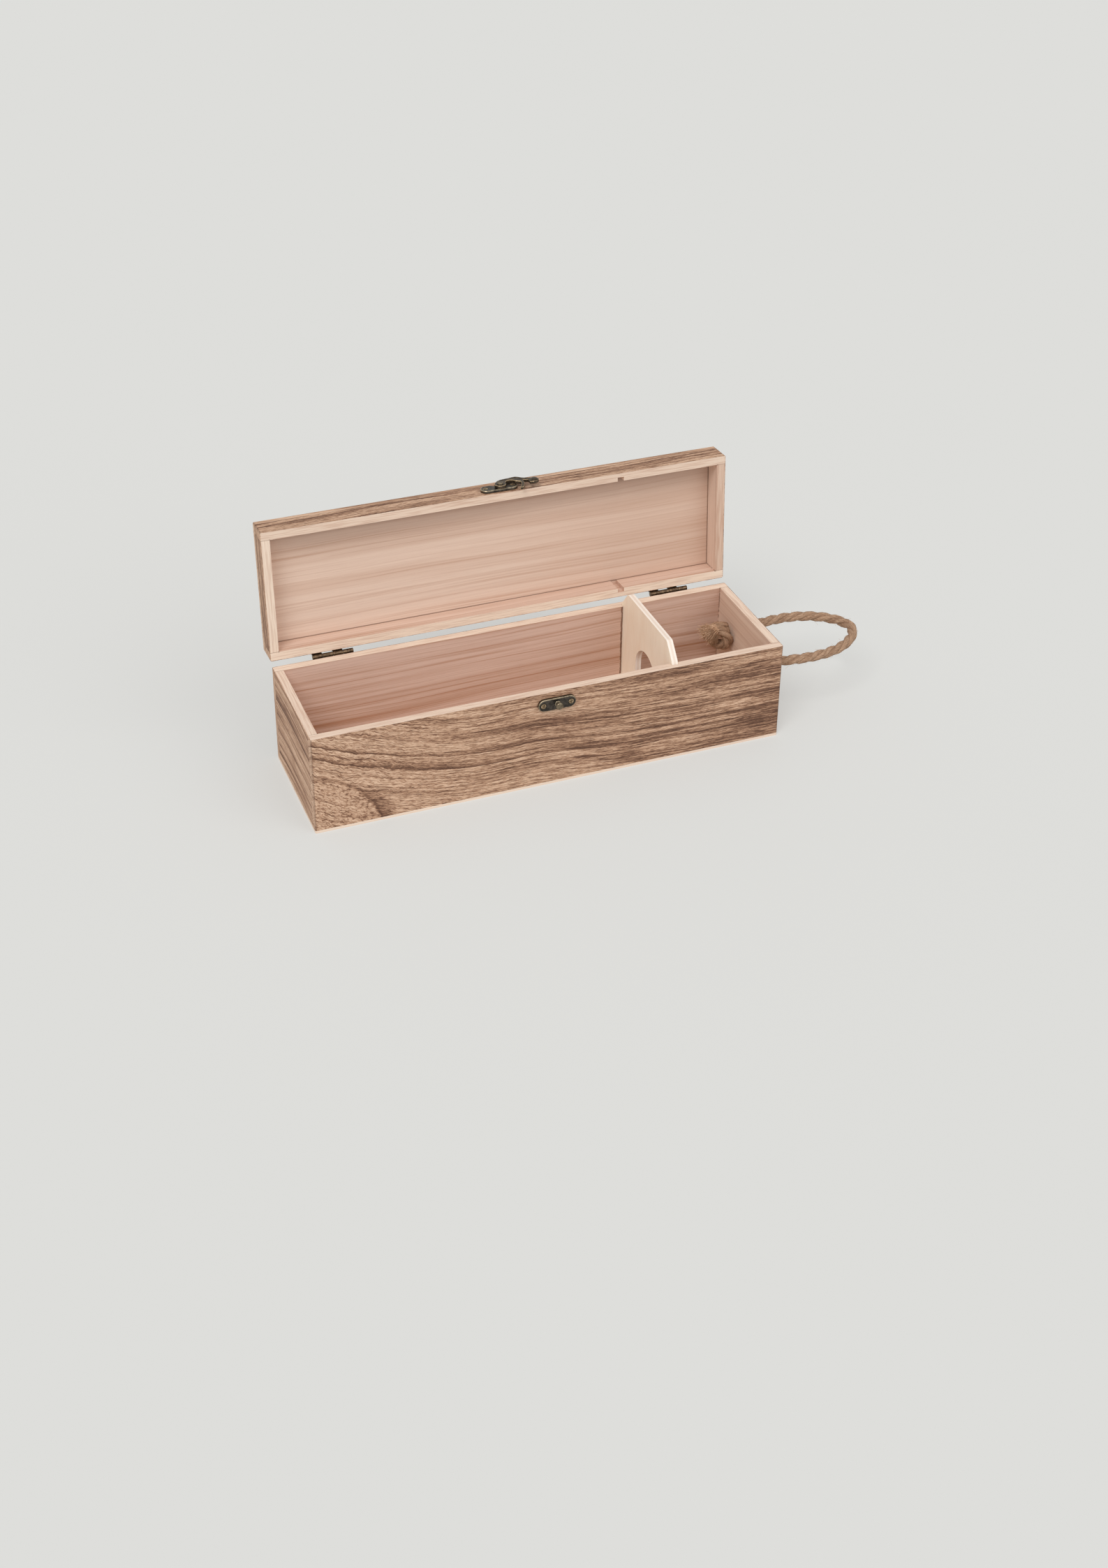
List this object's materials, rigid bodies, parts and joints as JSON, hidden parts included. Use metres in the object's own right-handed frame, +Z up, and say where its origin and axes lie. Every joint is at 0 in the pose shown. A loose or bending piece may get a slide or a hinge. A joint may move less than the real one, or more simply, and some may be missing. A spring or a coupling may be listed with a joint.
{
  "type": "wooden wine box",
  "caption": "Slim wooden gift box for a wine bottle, with a hinged lid, a swing-hook latch, a neck divider and a rope carrying handle.",
  "frame": {"origin": "centre of the box's underside", "axes": "+X along the box towards the rope handle, -Y out of the front with the latch, +Z up"},
  "size_m": [0.4369, 0.1355, 0.1833],
  "materials": {
    "torched_wood": "torched and brushed paulownia outside, raw inside",
    "bare_wood": "raw sanded",
    "plywood": "raw plywood with a pale sawn edge",
    "bronze": "antique bronze plating, dark in the hollows",
    "worn_bronze": "antique bronze plating, bright where it is worn",
    "jute": "three-strand twisted jute rope"
  },
  "bodies": {
    "box": {"bottom_panel": "bare_wood", "front_panel": "torched_wood", "back_panel": "torched_wood", "left_end_panel": "torched_wood", "right_end_panel": "torched_wood", "neck_divider": "plywood", "left_hinge_body_leaf": "bronze", "right_hinge_body_leaf": "bronze", "left_hinge_pin": "worn_bronze", "right_hinge_pin": "worn_bronze", "hinge_body_screws": "worn_bronze", "catch_plate": "bronze", "catch_stud": "worn_bronze", "catch_plate_screws": "worn_bronze", "front_rope_knot": "jute", "rear_rope_knot": "jute"},
    "lid": {"lid_top_panel": "torched_wood", "lid_front_rail": "torched_wood", "lid_back_rail": "torched_wood", "lid_left_rail": "torched_wood", "lid_right_rail": "torched_wood", "left_hinge_lid_leaf": "bronze", "right_hinge_lid_leaf": "bronze", "hinge_lid_screws": "worn_bronze", "hook_plate": "bronze", "hook_plate_screws": "worn_bronze", "hook_rivet": "worn_bronze"},
    "hook": {"swing_hook": "bronze"},
    "handle": {"rope_handle": "jute"}
  },
  "joints": [
    {"name": "lid_hinge", "type": "hinge", "parent": "box", "child": "lid", "pos_m": [0, 0.0523, 0.0761], "axis": [1, 0, 0], "range_deg": [0, 94]},
    {"name": "hook_swing", "type": "hinge", "parent": "lid", "child": "hook", "pos_m": [0.0012, 0.06446, 0.1798], "axis": [0, 0.0698, 0.9976], "range_deg": [-78, 102]},
    {"name": "handle_flex", "type": "hinge", "parent": "box", "child": "handle", "pos_m": [0.1791, 0, 0.048], "axis": [0, 1, 0], "range_deg": [-60, 32], "stiffness_Nm_per_rad": 0.1}
  ]
}
